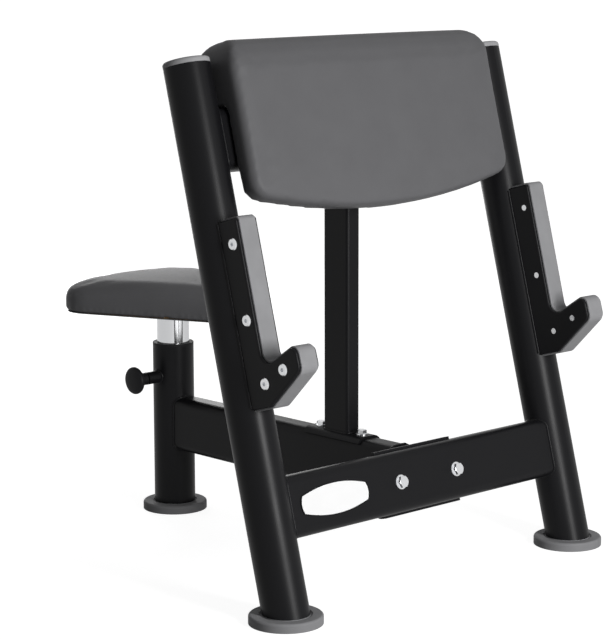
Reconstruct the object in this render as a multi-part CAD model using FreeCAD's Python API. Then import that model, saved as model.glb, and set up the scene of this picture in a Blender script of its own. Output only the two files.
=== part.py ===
import FreeCAD, Part
import math
import os
from FreeCAD import Placement, Rotation, Vector

# Preacher curl bench. Millimetres, +Z up, origin on the floor under the middle of the bench.
# X runs across the bench, -Y is the front, where the bar rests, and the seat is at +Y.
# The front frame is laid out flat (u across, v up the uprights, w out of the front) and leaned back.

# Front frame
TUBE_OD = 76.0
TUBE_WALL = 3.0
LEAN_ANGLE = 15.0
UPRIGHT_SPACING = 676.0
UPRIGHT_LENGTH = 889.0
WELD_GAP = 0.2

# Upright caps
CAP_HEIGHT = 9.5
CAP_EDGE = 5.0
PLUG_DEPTH = 24.0
PLUG_CLEARANCE = 0.15

# Feet
FOOT_DIA = 119.0
FOOT_HEIGHT = 15.0
FOOT_EDGE = 4.0
FOOT_GROOVE_WIDTH = 3.0
FOOT_GROOVE_DEPTH = 2.0

# Oblong tube of the crossbeams and the spine
BEAM_HEIGHT = 100.0
BEAM_DEPTH = 50.0
BEAM_CORNER = 15.0
BEAM_WALL = 3.0
LOWER_BEAM_CENTRE = 176.0
UPPER_BEAM_DROP = 123.0
SPINE_CENTRE = 167.0

# Saddle that joins the spine to the lower crossbeam
SADDLE_WIDTH = 178.0
SADDLE_PLATE = 5.0
SADDLE_REACH = 25.0
SADDLE_BOLT_SPACING = 132.0
SADDLE_BOLT = 12.0

# Hexagon fasteners, sizes as shares of the thread
FLATS_RATIO = 1.5
HEAD_RATIO = 0.62
NUT_RATIO = 0.83
WASHER_RATIO = 2.0
WASHER_PLATE_RATIO = 0.2
BOLT_END = 4.0
HOLE_CLEARANCE = 0.25

# Centre post
POST_LENGTH = 60.0
POST_WIDTH = 30.0
POST_CORNER = 6.0
POST_WALL = 2.5
POST_BEHIND_BEAM = 30.7
POST_ABOVE_BEAM = 38.1
POST_SADDLE_LENGTH = 136.0
POST_SADDLE_PLATE = 4.0
POST_SADDLE_DROP = 10.0
POST_BOLT = 10.0
POST_BOLT_SPACING = 100.0

# Rear post and seat slide
REAR_POST_DISTANCE = 680.0
REAR_POST_TOP = 313.0
SEAT_TUBE_OD = 60.0
SEAT_TUBE_WALL = 3.0
SEAT_TUBE_CLEARANCE = 21.0
BUSH_LENGTH = 100.0
BUSH_LIP = 4.0
BUSH_CLEARANCE = 0.15
SLIDE_CLEARANCE = 0.08
INDEX_PITCH = 25.0
INDEX_TAIL = 30.0
TUBE_PLUG_HEIGHT = 6.0

# Pull pin
PIN_DROP = 58.0
PIN_DIA = 12.0
PIN_ROD_DIA = 8.0
PIN_REACH = 7.0
PIN_TRAVEL = 9.0
PIN_CLEARANCE = 0.1
HOUSING_DIA = 23.0
HOUSING_LENGTH = 28.0
HOUSING_END = 6.0
INDEX_CLEARANCE = 0.4
KNOB_DIA = 51.0
KNOB_NECK_DIA = 23.0
KNOB_LENGTH = 34.0
KNOB_RIM = 14.0
KNOB_EDGE = 5.0
KNOB_GAP = 0.5
SPRING_WIRE = 1.2
SPRING_TURNS = 5
SPRING_GAP = 0.3

# Seat
SEAT_ABOVE_POST = 65.5
SEAT_PLATE_LENGTH = 130.0
SEAT_PLATE_WIDTH = 110.0
SEAT_PLATE_THICKNESS = 5.0
SEAT_PLATE_CORNER = 16.0
SEAT_REAR = 152.0
SEAT_FRONT = 202.0
SEAT_REAR_WIDTH = 391.0
SEAT_NOSE_WIDTH = 66.0
SEAT_REAR_BOW = 8.0
SEAT_SIDE_DRAW = 3.0
SEAT_REAR_CORNER = 63.0
SEAT_NOSE_CORNER = 28.0
SEAT_THICKNESS = 60.0
SEAT_CROWN_RADIUS = 2000.0
SEAT_TOP_EDGE = 23.0
SEAT_BOTTOM_EDGE = 7.0
SEAT_SCREW = 8.0
SEAT_SCREW_LENGTH = 18.0

# Arm pad
PAD_SIDE_GAP = 2.5
PAD_HEIGHT = 293.5
PAD_ABOVE_BEAM = 156.5
PAD_BOTTOM_BOW = 38.0
PAD_SIDE_DRAW = 2.0
PAD_FRONT = 71.0
PAD_CROWN_RADIUS = 9000.0
PAD_TOP_ROLL = 46.0
PAD_REAR_ROLL = 30.0
PAD_UNDER_ROLL = 14.0
PAD_TOP_FLAT = 30.0
PAD_TOP_CORNER = 55.0
PAD_BOTTOM_CORNER = 32.0
PAD_CORNER_RISE = 8.0
PAD_EDGE = 10.0
PAD_BOLT = 8.0
PAD_BOLT_SPACING = 380.0
PAD_BOLT_RISE = 44.0

# Plywood boards inside the two cushions
BOARD_THICKNESS = 15.0
BOARD_MARGIN = 26.0
BOARD_CORNER = 20.0
SOFT_GAP = 0.3

# Bar hooks
HOOK_DROP = 254.5
HOOK_HEIGHT = 298.0
HOOK_FRONT = 74.5
HOOK_THROAT_RISE = 60.8
HOOK_THROAT_RADIUS = 18.0
HOOK_ARM_SLOPE = 0.342
HOOK_ARM_LENGTH = 81.0
HOOK_TIP_FLARE = 1.0
HOOK_TIP_RISE = 48.0
HOOK_HEEL = 76.0
HOOK_HEEL_RISE = 1.0
HOOK_CORNER = 5.0
HOOK_TIP_CORNER = 11.0
HOOK_TIP_LOW_CORNER = 14.0
HOOK_HEEL_CORNER = 12.0
CHEEK_THICKNESS = 5.0
CHEEK_EDGE = 3.0
CORE_THICKNESS = 34.0
CORE_PROUD = 3.0
CORE_EDGE = 1.8
HOOK_SCREW = 10.0
HOOK_SCREW_HEAD = 19.0
HOOK_SCREW_HEAD_HEIGHT = 2.8
HOOK_SCREW_SOCKET = 6.0
HOOK_SCREW_INSET = 15.5
HOOK_SCREW_DROP = 39.0
HOOK_SCREW_SPACING = 120.0

LEAN = math.radians(LEAN_ANGLE)
TUBE_R = TUBE_OD / 2
TUBE_BORE_R = TUBE_R - TUBE_WALL
UPRIGHT_X = UPRIGHT_SPACING / 2
BEAM_FRONT = BEAM_DEPTH / 2
SPINE_TOP = SPINE_CENTRE + BEAM_HEIGHT / 2
UPPER_BEAM_CENTRE = UPRIGHT_LENGTH - UPPER_BEAM_DROP
POST_DISTANCE = UPPER_BEAM_CENTRE * math.sin(LEAN) + POST_BEHIND_BEAM
POST_TOP = UPPER_BEAM_CENTRE * math.cos(LEAN) + POST_ABOVE_BEAM
PIN_HEIGHT = REAR_POST_TOP - PIN_DROP
SEAT_HEIGHT = REAR_POST_TOP + SEAT_ABOVE_POST
SEAT_TUBE_BOTTOM = FOOT_HEIGHT + PLUG_DEPTH + SEAT_TUBE_CLEARANCE + TUBE_PLUG_HEIGHT
INDEX_COUNT = 1 + int((PIN_HEIGHT - SEAT_TUBE_BOTTOM - INDEX_TAIL) / INDEX_PITCH)
PAD_WIDTH = UPRIGHT_SPACING - TUBE_OD - 2 * PAD_SIDE_GAP
PAD_TOP = UPPER_BEAM_CENTRE + PAD_ABOVE_BEAM
PAD_BOTTOM = PAD_TOP - PAD_HEIGHT
HOOK_TOP = UPRIGHT_LENGTH - HOOK_DROP
HOOK_BOTTOM = HOOK_TOP - HOOK_HEIGHT
HOOK_THROAT = HOOK_BOTTOM + HOOK_THROAT_RISE
HOOK_TIP = HOOK_FRONT + HOOK_ARM_LENGTH
HOOK_TIP_LOW = HOOK_BOTTOM + HOOK_TIP_RISE
ORIGIN = Vector(0, 0, 0)
X_AXIS = Vector(1, 0, 0)
Y_AXIS = Vector(0, 1, 0)
Z_AXIS = Vector(0, 0, 1)
UP_THE_LEAN = Vector(0, math.sin(LEAN), math.cos(LEAN))
FAR = 2000.0

pieces = {}


# Shared forms


def lean(shape):
    """Turn a piece of the flat front frame (u, v, w) to the frame's lean."""
    return placed(shape, ORIGIN, Rotation(X_AXIS, 90 - LEAN_ANGLE))


def placed(shape, base, turn=Rotation()):
    copy = shape.copy()
    copy.Placement = Placement(base, turn).multiply(copy.Placement)
    return copy


def mirrored(shape):
    return shape.mirror(ORIGIN, X_AXIS)


def rounded_outline(corners):
    """Closed wire through (x, y, radius) corners, with an arc at each corner that has a radius."""
    edges = []
    starts = []
    count = len(corners)
    for i in range(count):
        x, y, radius = corners[i]
        here = Vector(x, y, 0)
        before = (Vector(*corners[i - 1][:2], 0) - here).normalize()
        after = (Vector(*corners[(i + 1) % count][:2], 0) - here).normalize()
        half = before.getAngle(after) / 2
        reach = radius / math.tan(half)
        middle = (before + after).normalize() * (radius / math.sin(half) - radius)
        starts.append((here + before * reach, here + middle, here + after * reach, radius))
    for i in range(count):
        first, middle, last, radius = starts[i]
        if radius > 0:
            edges.append(Part.Arc(first, middle, last).toShape())
        following = starts[(i + 1) % count][0]
        if last.distanceToPoint(following) > 1e-6:
            edges.append(Part.LineSegment(last, following).toShape())
    return Part.Wire(edges)


def slab(corners, thickness):
    """Plate of a rounded outline in X and Y, standing from Z = 0."""
    return Part.Face(rounded_outline(corners)).extrude(Z_AXIS * thickness)


def rectangle(width, height, radius):
    w = width / 2
    h = height / 2
    return [(-w, -h, radius), (w, -h, radius), (w, h, radius), (-w, h, radius)]


def along_x(shape):
    """Turn X, Y, Z of a slab to v, w and u, so that its thickness runs across the bench."""
    return placed(shape, ORIGIN, Rotation(Vector(1, 1, 1), 120))


def bowed_edge(first, last, bow):
    """Edge between two points in the plane, bowed to its right by the given height."""
    if bow == 0:
        return Part.LineSegment(first, last).toShape()
    run = last - first
    side = Vector(run.y, -run.x, 0).normalize()
    return Part.Arc(first, (first + last) * 0.5 + side * bow, last).toShape()


def bowed_prism(points, bows, height):
    corners = [Vector(x, y, 0) for x, y in points]
    count = len(corners)
    edges = [bowed_edge(corners[i], corners[(i + 1) % count], bows[i]) for i in range(count)]
    return Part.Face(Part.Wire(edges)).extrude(Z_AXIS * height)


def upright_edges(solid, chosen):
    """Edges of a prism that run along Z and whose place passes the test."""
    found = []
    for edge in solid.Edges:
        box = edge.BoundBox
        if box.ZLength > 1 and box.XLength < 0.01 and box.YLength < 0.01 and chosen(box.Center):
            found.append(edge)
    return found


def rim_edges(solid, level):
    """Edges of a solid that lie flat at the given height."""
    found = []
    for edge in solid.Edges:
        box = edge.BoundBox
        if box.ZLength < 0.01 and abs(box.Center.z - level) < 0.01:
            found.append(edge)
    return found


def dome(radius, top):
    """Ball whose highest point is the one given, turned so that its seam is clear of that side."""
    return placed(Part.makeSphere(radius), top - Z_AXIS * radius, Rotation(X_AXIS, -90))


def revolved(points):
    """Solid of revolution about Z from (radius, z) points."""
    vectors = [Vector(r, 0, z) for r, z in points]
    return Part.Face(Part.makePolygon(vectors + vectors[:1])).revolve(ORIGIN, Z_AXIS, 360)


def hexagon(across_flats, height):
    radius = across_flats / math.sqrt(3)
    points = []
    for i in range(6):
        angle = math.radians(60 * i)
        points.append(Vector(radius * math.cos(angle), radius * math.sin(angle), 0))
    return Part.Face(Part.makePolygon(points + points[:1])).extrude(Z_AXIS * height)


def hex_head(size, height):
    """Hexagon with its crown turned round at 30 degrees, standing from Z = 0."""
    across = size * FLATS_RATIO
    slope = math.tan(math.radians(30))
    shoulder = height - across / 2 * slope
    crown = revolved([(0, 0), (across, 0), (across, shoulder), (across / 2, height), (0, height)])
    return hexagon(across, height).common(crown)


def hex_bolt(size, length):
    """Bolt with the underside of its head at Z = 0, its head above and its shank below."""
    head = hex_head(size, size * HEAD_RATIO)
    return head.fuse(Part.makeCylinder(size / 2, length, Vector(0, 0, -length))).removeSplitter()


def ring(outer_dia, bore_dia, height):
    return Part.makeCylinder(outer_dia / 2, height).cut(Part.makeCylinder(bore_dia / 2, height))


def hole(size, length, base, axis):
    return Part.makeCylinder(size / 2 + HOLE_CLEARANCE, length, base, axis)


def beam_section(grow):
    """Outline of the oblong tube, grown or shrunk all round."""
    radius = BEAM_CORNER + grow
    return rectangle(BEAM_HEIGHT + 2 * grow, BEAM_DEPTH + 2 * grow, radius)


def beam_solid(grow, length):
    """Oblong bar along u, its height along v and its depth along w."""
    return placed(along_x(slab(beam_section(grow), length)), Vector(-length / 2, 0, 0))


def beam_tube(length):
    return beam_solid(0, length).cut(beam_solid(-BEAM_WALL, length))


# Uprights, with their caps and feet


def upright():
    """Round tube, square at the top and cut level on its foot."""
    axis = Vector(-UPRIGHT_X, 0, 0)
    tube = Part.makeCylinder(TUBE_R, UPRIGHT_LENGTH, axis, Y_AXIS)
    tube = lean(tube.cut(Part.makeCylinder(TUBE_BORE_R, UPRIGHT_LENGTH, axis, Y_AXIS)))
    below = Part.makeBox(2 * FAR, FAR, FAR, Vector(-FAR, -FAR / 2, FOOT_HEIGHT - FAR))
    return tube.cut(below)


def upright_cap():
    """Moulded cap with a rounded rim and a plug down the tube."""
    head = Part.makeCylinder(TUBE_R, CAP_HEIGHT)
    head = head.makeFillet(CAP_EDGE, rim_edges(head, CAP_HEIGHT))
    plug = Part.makeCylinder(TUBE_BORE_R - PLUG_CLEARANCE, PLUG_DEPTH, Vector(0, 0, -PLUG_DEPTH))
    cap = head.fuse(plug).removeSplitter()
    return lean(placed(cap, Vector(-UPRIGHT_X, UPRIGHT_LENGTH, 0), Rotation(X_AXIS, -90)))


def foot(plug_axis):
    """Round glide: a disc with a rounded edge, a groove round the tube and a plug up into it."""
    radius = FOOT_DIA / 2
    disc = Part.makeCylinder(radius, FOOT_HEIGHT)
    disc = disc.makeFillet(FOOT_EDGE, rim_edges(disc, FOOT_HEIGHT))
    stretch = 1 / plug_axis.z
    groove_end = TUBE_R * stretch + FOOT_GROOVE_WIDTH
    groove = Part.makeCylinder(groove_end, FOOT_GROOVE_DEPTH, Vector(0, 0, FOOT_HEIGHT - FOOT_GROOVE_DEPTH))
    seat = Part.makeCylinder(TUBE_R, 2 * FOOT_HEIGHT, plug_axis * -FOOT_HEIGHT, plug_axis)
    seat = placed(seat, Vector(0, 0, FOOT_HEIGHT))
    disc = disc.cut(groove.cut(seat))
    plug = Part.makeCylinder(
        TUBE_BORE_R - PLUG_CLEARANCE, PLUG_DEPTH + FOOT_HEIGHT, plug_axis * -FOOT_HEIGHT / 2, plug_axis
    )
    plug = placed(plug, Vector(0, 0, FOOT_HEIGHT))
    above = Part.makeBox(FAR, FAR, FAR, Vector(-FAR / 2, -FAR / 2, FOOT_HEIGHT / 2))
    return disc.fuse(plug.common(above)).removeSplitter()


pieces["left_upright"] = upright()
pieces["left_upright_cap"] = upright_cap()
pieces["left_foot"] = placed(foot(UP_THE_LEAN), Vector(-UPRIGHT_X, FOOT_HEIGHT * math.tan(LEAN), 0))
for name in ("upright", "upright_cap", "foot"):
    pieces["right_" + name] = mirrored(pieces["left_" + name])


# Crossbeams of the front frame


def crossbeam(centre):
    """Oblong tube, coped at both ends to the round uprights, in the flat layout."""
    beam = placed(beam_tube(UPRIGHT_SPACING), Vector(0, centre, 0))
    for side in (-1, 1):
        start = Vector(side * UPRIGHT_X, -FAR / 2, 0)
        beam = beam.cut(Part.makeCylinder(TUBE_R + WELD_GAP, 2 * FAR, start, Y_AXIS))
    return beam


def pad_bolt_places():
    places = []
    for side in (-1, 1):
        for rise in (-1, 1):
            places.append((side * PAD_BOLT_SPACING / 2, UPPER_BEAM_CENTRE + rise * PAD_BOLT_RISE / 2))
    return places


lower_beam = crossbeam(LOWER_BEAM_CENTRE)
saddle_bolt_places = [(side * SADDLE_BOLT_SPACING / 2, LOWER_BEAM_CENTRE) for side in (-1, 1)]
for u, v in saddle_bolt_places:
    lower_beam = lower_beam.cut(hole(SADDLE_BOLT, BEAM_DEPTH, Vector(u, v, -BEAM_FRONT), Z_AXIS))
pieces["lower_crossbeam"] = lean(lower_beam)

upper_beam = crossbeam(UPPER_BEAM_CENTRE)
for u, v in pad_bolt_places():
    upper_beam = upper_beam.cut(hole(PAD_BOLT, BEAM_DEPTH, Vector(u, v, -BEAM_FRONT), Z_AXIS))
pieces["upper_crossbeam"] = lean(upper_beam)


# Spine, with the saddle that grips the lower crossbeam


def saddle():
    """Bent plate round the back half of the lower crossbeam, in the flat layout."""
    outer = beam_solid(SADDLE_PLATE, SADDLE_WIDTH).cut(beam_solid(WELD_GAP, SADDLE_WIDTH))
    front = SADDLE_REACH - BEAM_FRONT
    back_half = Part.makeBox(FAR, FAR, FAR, Vector(-FAR / 2, -FAR / 2, front - FAR))
    plate = placed(outer.common(back_half), Vector(0, LOWER_BEAM_CENTRE, 0))
    for u, v in saddle_bolt_places:
        plate = plate.cut(hole(SADDLE_BOLT, FAR, Vector(u, v, 0), Z_AXIS * -1))
    return plate


def spine_bar(grow, start, length):
    """Oblong bar along the spine, grown all round, from the given distance behind the uprights' feet."""
    bar = placed(slab(beam_section(grow), length), ORIGIN, Rotation(Z_AXIS, 90))
    return placed(bar, Vector(0, start + length, SPINE_CENTRE), Rotation(X_AXIS, 90))


SADDLE_BACK = -BEAM_FRONT - SADDLE_PLATE
pieces["spine_saddle"] = lean(saddle())

spine = spine_bar(0, -REAR_POST_DISTANCE, 2 * REAR_POST_DISTANCE)
spine = spine.cut(spine_bar(-BEAM_WALL, -REAR_POST_DISTANCE, 2 * REAR_POST_DISTANCE))
front_of_spine = Part.makeBox(FAR, 2 * FAR, FAR, Vector(-FAR / 2, -FAR, SADDLE_BACK - WELD_GAP))
spine = spine.cut(lean(front_of_spine))
rear_space = Part.makeCylinder(TUBE_R + WELD_GAP, FAR, Vector(0, REAR_POST_DISTANCE, 0), Z_AXIS)
pieces["spine_beam"] = spine.cut(rear_space)

washer_thickness = SADDLE_BOLT * WASHER_PLATE_RATIO
bolts = []
washers = []
nuts = []
for u, v in saddle_bolt_places:
    length = washer_thickness + BEAM_DEPTH + SADDLE_PLATE + SADDLE_BOLT * NUT_RATIO + BOLT_END
    bolts.append(placed(hex_bolt(SADDLE_BOLT, length), Vector(u, v, BEAM_FRONT + washer_thickness)))
    washer = ring(SADDLE_BOLT * WASHER_RATIO, SADDLE_BOLT + 2 * HOLE_CLEARANCE, washer_thickness)
    washers.append(placed(washer, Vector(u, v, BEAM_FRONT)))
    nut = hex_head(SADDLE_BOLT, SADDLE_BOLT * NUT_RATIO)
    nut = nut.cut(Part.makeCylinder(SADDLE_BOLT / 2 + PIN_CLEARANCE, FAR))
    nuts.append(placed(nut, Vector(u, v, SADDLE_BACK), Rotation(X_AXIS, 180)))
pieces["saddle_bolts"] = lean(Part.makeCompound(bolts))
pieces["saddle_washers"] = lean(Part.makeCompound(washers))
pieces["saddle_nuts"] = lean(Part.makeCompound(nuts))


# Centre post, bolted to the spine and notched round the upper crossbeam

post_foot = SPINE_TOP + POST_SADDLE_PLATE
post_height = POST_TOP - SPINE_CENTRE
post = slab(rectangle(POST_WIDTH, POST_LENGTH, POST_CORNER), post_height)
post_bore = rectangle(POST_WIDTH - 2 * POST_WALL, POST_LENGTH - 2 * POST_WALL, POST_CORNER - POST_WALL)
post = placed(post.cut(slab(post_bore, post_height)), Vector(0, POST_DISTANCE, SPINE_CENTRE))
post = post.cut(spine_bar(POST_SADDLE_PLATE + WELD_GAP, 0, REAR_POST_DISTANCE))
notch = beam_solid(WELD_GAP, UPRIGHT_SPACING)
ahead = Part.makeBox(FAR, FAR, FAR, Vector(-FAR / 2, -BEAM_HEIGHT / 2, 0))
notch = placed(notch.fuse(ahead), Vector(0, UPPER_BEAM_CENTRE, 0))
pieces["centre_post"] = post.cut(lean(notch))

saddle_start = POST_DISTANCE - POST_SADDLE_LENGTH / 2
post_saddle = spine_bar(POST_SADDLE_PLATE, saddle_start, POST_SADDLE_LENGTH)
post_saddle = post_saddle.cut(spine_bar(0, 0, REAR_POST_DISTANCE))
over_spine = Part.makeBox(FAR, FAR, FAR, Vector(-FAR / 2, 0, post_foot - POST_SADDLE_DROP))
post_saddle = post_saddle.common(over_spine)
post_bolts = []
post_washers = []
for side in (-1, 1):
    at = Vector(0, POST_DISTANCE + side * POST_BOLT_SPACING / 2, post_foot)
    washer_thickness = POST_BOLT * WASHER_PLATE_RATIO
    post_washer = ring(POST_BOLT * WASHER_RATIO, POST_BOLT + 2 * HOLE_CLEARANCE, washer_thickness)
    post_washers.append(placed(post_washer, at))
    grip = washer_thickness + POST_SADDLE_PLATE + BEAM_WALL + BOLT_END
    post_bolts.append(placed(hex_bolt(POST_BOLT, grip), at + Z_AXIS * washer_thickness))
    bolt_hole = hole(POST_BOLT, BEAM_HEIGHT, at - Z_AXIS * BEAM_HEIGHT / 2, Z_AXIS)
    post_saddle = post_saddle.cut(bolt_hole)
    pieces["spine_beam"] = pieces["spine_beam"].cut(bolt_hole)
pieces["post_saddle"] = post_saddle
pieces["post_washers"] = Part.makeCompound(post_washers)
pieces["post_bolts"] = Part.makeCompound(post_bolts)


# Rear post, with its foot and the bush that guides the seat tube

rear_axis = Vector(0, REAR_POST_DISTANCE, 0)
rear_post = ring(TUBE_OD, 2 * TUBE_BORE_R, REAR_POST_TOP - FOOT_HEIGHT)
rear_post = placed(rear_post, rear_axis + Z_AXIS * FOOT_HEIGHT)
pin_hole = Part.makeCylinder(
    (PIN_DIA + INDEX_CLEARANCE) / 2, TUBE_OD, rear_axis + Z_AXIS * PIN_HEIGHT, X_AXIS * -1
)
pieces["rear_post"] = rear_post.cut(pin_hole)
pieces["rear_foot"] = placed(foot(Z_AXIS), rear_axis)

bush_bore = SEAT_TUBE_OD + 2 * SLIDE_CLEARANCE
bush = ring(2 * (TUBE_BORE_R - BUSH_CLEARANCE), bush_bore, BUSH_LENGTH)
lip = placed(ring(TUBE_OD, bush_bore, BUSH_LIP), Z_AXIS * BUSH_LENGTH)
bush = placed(bush.fuse(lip).removeSplitter(), rear_axis + Z_AXIS * (REAR_POST_TOP - BUSH_LENGTH))
pieces["seat_bush"] = bush.cut(pin_hole)


# Seat tube with its row of index holes, its plug and the plate welded on top

plate_bottom = SEAT_HEIGHT - SEAT_PLATE_THICKNESS
seat_tube = ring(SEAT_TUBE_OD, SEAT_TUBE_OD - 2 * SEAT_TUBE_WALL, plate_bottom - SEAT_TUBE_BOTTOM)
seat_tube = placed(seat_tube, rear_axis + Z_AXIS * SEAT_TUBE_BOTTOM)
for i in range(INDEX_COUNT):
    place = rear_axis + Z_AXIS * (PIN_HEIGHT - i * INDEX_PITCH)
    seat_tube = seat_tube.cut(Part.makeCylinder((PIN_DIA + INDEX_CLEARANCE) / 2, TUBE_OD, place, X_AXIS * -1))
pieces["seat_tube"] = seat_tube

tube_plug = Part.makeCylinder(SEAT_TUBE_OD / 2 - SEAT_TUBE_WALL - PLUG_CLEARANCE, PLUG_DEPTH)
plug_head = Part.makeCylinder(SEAT_TUBE_OD / 2, TUBE_PLUG_HEIGHT, Z_AXIS * -TUBE_PLUG_HEIGHT)
pieces["seat_tube_plug"] = placed(tube_plug.fuse(plug_head), rear_axis + Z_AXIS * SEAT_TUBE_BOTTOM)

seat_plate = slab(rectangle(SEAT_PLATE_WIDTH, SEAT_PLATE_LENGTH, SEAT_PLATE_CORNER), SEAT_PLATE_THICKNESS)
seat_plate = placed(seat_plate, rear_axis + Z_AXIS * plate_bottom)
screw_places = []
for side in (-1, 1):
    for end in (-1, 1):
        across = side * (SEAT_PLATE_WIDTH / 2 - SEAT_PLATE_CORNER)
        ahead_by = end * (SEAT_PLATE_LENGTH / 2 - SEAT_PLATE_CORNER)
        screw_places.append(rear_axis + Vector(across, ahead_by, plate_bottom))


# Seat cushion, its board and the screws that hold it


def seat_outline(inset):
    """Tapered plan of the seat, wide at the back, drawn in along its sides."""
    rear = SEAT_REAR - inset
    front = -SEAT_FRONT + inset
    wide = SEAT_REAR_WIDTH / 2 - inset
    nose = SEAT_NOSE_WIDTH / 2
    return [(-nose, front), (nose, front), (wide, rear), (-wide, rear)]


def seat_prism(inset, bow, draw, height):
    """Seat plan with rounded corners, standing on the seat plate's level."""
    prism = bowed_prism(seat_outline(inset), [0, -draw, bow, -draw], height)
    prism = prism.makeFillet(SEAT_REAR_CORNER - inset, upright_edges(prism, lambda at: at.y > 0))
    return prism.makeFillet(SEAT_NOSE_CORNER, upright_edges(prism, lambda at: at.y < -SEAT_FRONT / 2))


def seat_cushion():
    """Crowned cushion, rounded at the top and tucked under at the bottom, with a pocket for its board."""
    cushion = seat_prism(0, SEAT_REAR_BOW, SEAT_SIDE_DRAW, SEAT_THICKNESS + SEAT_CROWN_RADIUS / 100)
    top_middle = Vector(0, (SEAT_REAR - SEAT_FRONT) / 2, SEAT_THICKNESS)
    cushion = cushion.common(dome(SEAT_CROWN_RADIUS, top_middle))
    top_edges = [e for e in cushion.Edges if e.BoundBox.ZMin > SEAT_THICKNESS / 2]
    cushion = cushion.makeFillet(SEAT_TOP_EDGE, top_edges)
    cushion = cushion.makeFillet(SEAT_BOTTOM_EDGE, rim_edges(cushion, 0))
    pocket = seat_prism(BOARD_MARGIN - SOFT_GAP, 0, 0, BOARD_THICKNESS + SOFT_GAP)
    return cushion.cut(pocket)


cushion_at = rear_axis + Z_AXIS * (SEAT_HEIGHT + SOFT_GAP)
pieces["seat_pad"] = placed(seat_cushion(), cushion_at)
seat_board = placed(seat_prism(BOARD_MARGIN, 0, 0, BOARD_THICKNESS), rear_axis + Z_AXIS * SEAT_HEIGHT)
seat_screws = []
for place in screw_places:
    seat_screws.append(placed(hex_bolt(SEAT_SCREW, SEAT_SCREW_LENGTH), place, Rotation(X_AXIS, 180)))
    screw_hole = hole(SEAT_SCREW, SEAT_SCREW_LENGTH + BOLT_END / 2, place, Z_AXIS)
    seat_plate = seat_plate.cut(screw_hole)
    seat_board = seat_board.cut(screw_hole)
pieces["seat_plate"] = seat_plate
pieces["seat_board"] = seat_board
pieces["seat_screws"] = Part.makeCompound(seat_screws)


# Pull pin that locks the seat's height. Laid out along +Z from the rear post's axis, then turned to -X


def pin_piece(shape):
    return placed(shape, rear_axis + Z_AXIS * PIN_HEIGHT, Rotation(Y_AXIS, -90))


SEAT_TUBE_R = SEAT_TUBE_OD / 2
pin_tip = SEAT_TUBE_R - PIN_REACH
housing_out = TUBE_R + HOUSING_LENGTH
spring_room = housing_out - HOUSING_END
spring_shut = (SPRING_TURNS + 1) * SPRING_WIRE + 2 * SPRING_GAP
pin_shoulder = spring_room - PIN_TRAVEL - spring_shut
knob_back = housing_out + KNOB_GAP

housing = Part.makeCylinder(HOUSING_DIA / 2, housing_out)
housing = housing.cut(Part.makeCylinder(PIN_DIA / 2 + PIN_CLEARANCE, spring_room))
housing = housing.cut(Part.makeCylinder(PIN_ROD_DIA / 2 + PIN_CLEARANCE, housing_out))
housing = pin_piece(housing).cut(Part.makeCylinder(TUBE_R + WELD_GAP, FAR, rear_axis, Z_AXIS))
pieces["pin_housing"] = housing

pin_nose = PIN_DIA / 6
plunger = revolved(
    [
        (0, pin_tip),
        (PIN_DIA / 2 - pin_nose, pin_tip),
        (PIN_DIA / 2, pin_tip + pin_nose),
        (PIN_DIA / 2, pin_shoulder),
        (PIN_ROD_DIA / 2, pin_shoulder),
        (PIN_ROD_DIA / 2, knob_back + KNOB_LENGTH / 2),
        (0, knob_back + KNOB_LENGTH / 2),
    ]
)
pieces["pull_pin"] = pin_piece(plunger)

knob_end = knob_back + KNOB_LENGTH
rim_back = knob_end - KNOB_RIM
knob_r = KNOB_DIA / 2
neck_r = KNOB_NECK_DIA / 2
knob = revolved(
    [
        (0, knob_back),
        (neck_r, knob_back),
        (neck_r, (knob_back + rim_back) / 2),
        (knob_r - KNOB_EDGE, rim_back),
        (knob_r, rim_back + KNOB_EDGE),
        (knob_r, knob_end - KNOB_EDGE),
        (knob_r - KNOB_EDGE / 3, knob_end - KNOB_EDGE / 3),
        (knob_r - KNOB_EDGE, knob_end),
        (0, knob_end),
    ]
)
knob = knob.cut(Part.makeCylinder(PIN_ROD_DIA / 2, knob_back + KNOB_LENGTH / 2))
pieces["pull_knob"] = pin_piece(knob)

spring_radius = (PIN_ROD_DIA + PIN_DIA) / 4
spring_length = spring_room - pin_shoulder - 2 * SPRING_GAP - SPRING_WIRE
spring_pitch = spring_length / SPRING_TURNS
helix = Part.makeHelix(spring_pitch, spring_length, spring_radius)
corners = []
for i in range(7):
    turn = math.radians(60 * i)
    across = spring_radius + SPRING_WIRE / 2 * math.cos(turn)
    corners.append(Vector(across, 0, SPRING_WIRE / 2 * math.sin(turn)))
wire_end = Part.makePolygon(corners)
spring = Part.Wire(helix.Edges).makePipeShell([wire_end], True, True)
spring = placed(spring, Z_AXIS * (pin_shoulder + SPRING_GAP + SPRING_WIRE / 2))
pieces["pin_spring"] = pin_piece(spring)


# Arm pad, its board and its bolts


def crowned_bar(profile):
    """Bar of a (v, w, radius) profile, swept sideways along the crown of the pad's front."""
    centre = Vector(0, 0, PAD_FRONT - PAD_CROWN_RADIUS)
    half_turn = math.degrees(math.asin((PAD_WIDTH / 2 + PAD_EDGE) / PAD_CROWN_RADIUS))
    face = along_x(Part.Face(rounded_outline(profile)))
    face.rotate(centre, Y_AXIS, -half_turn)
    return face.revolve(centre, Y_AXIS, 2 * half_turn)


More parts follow.
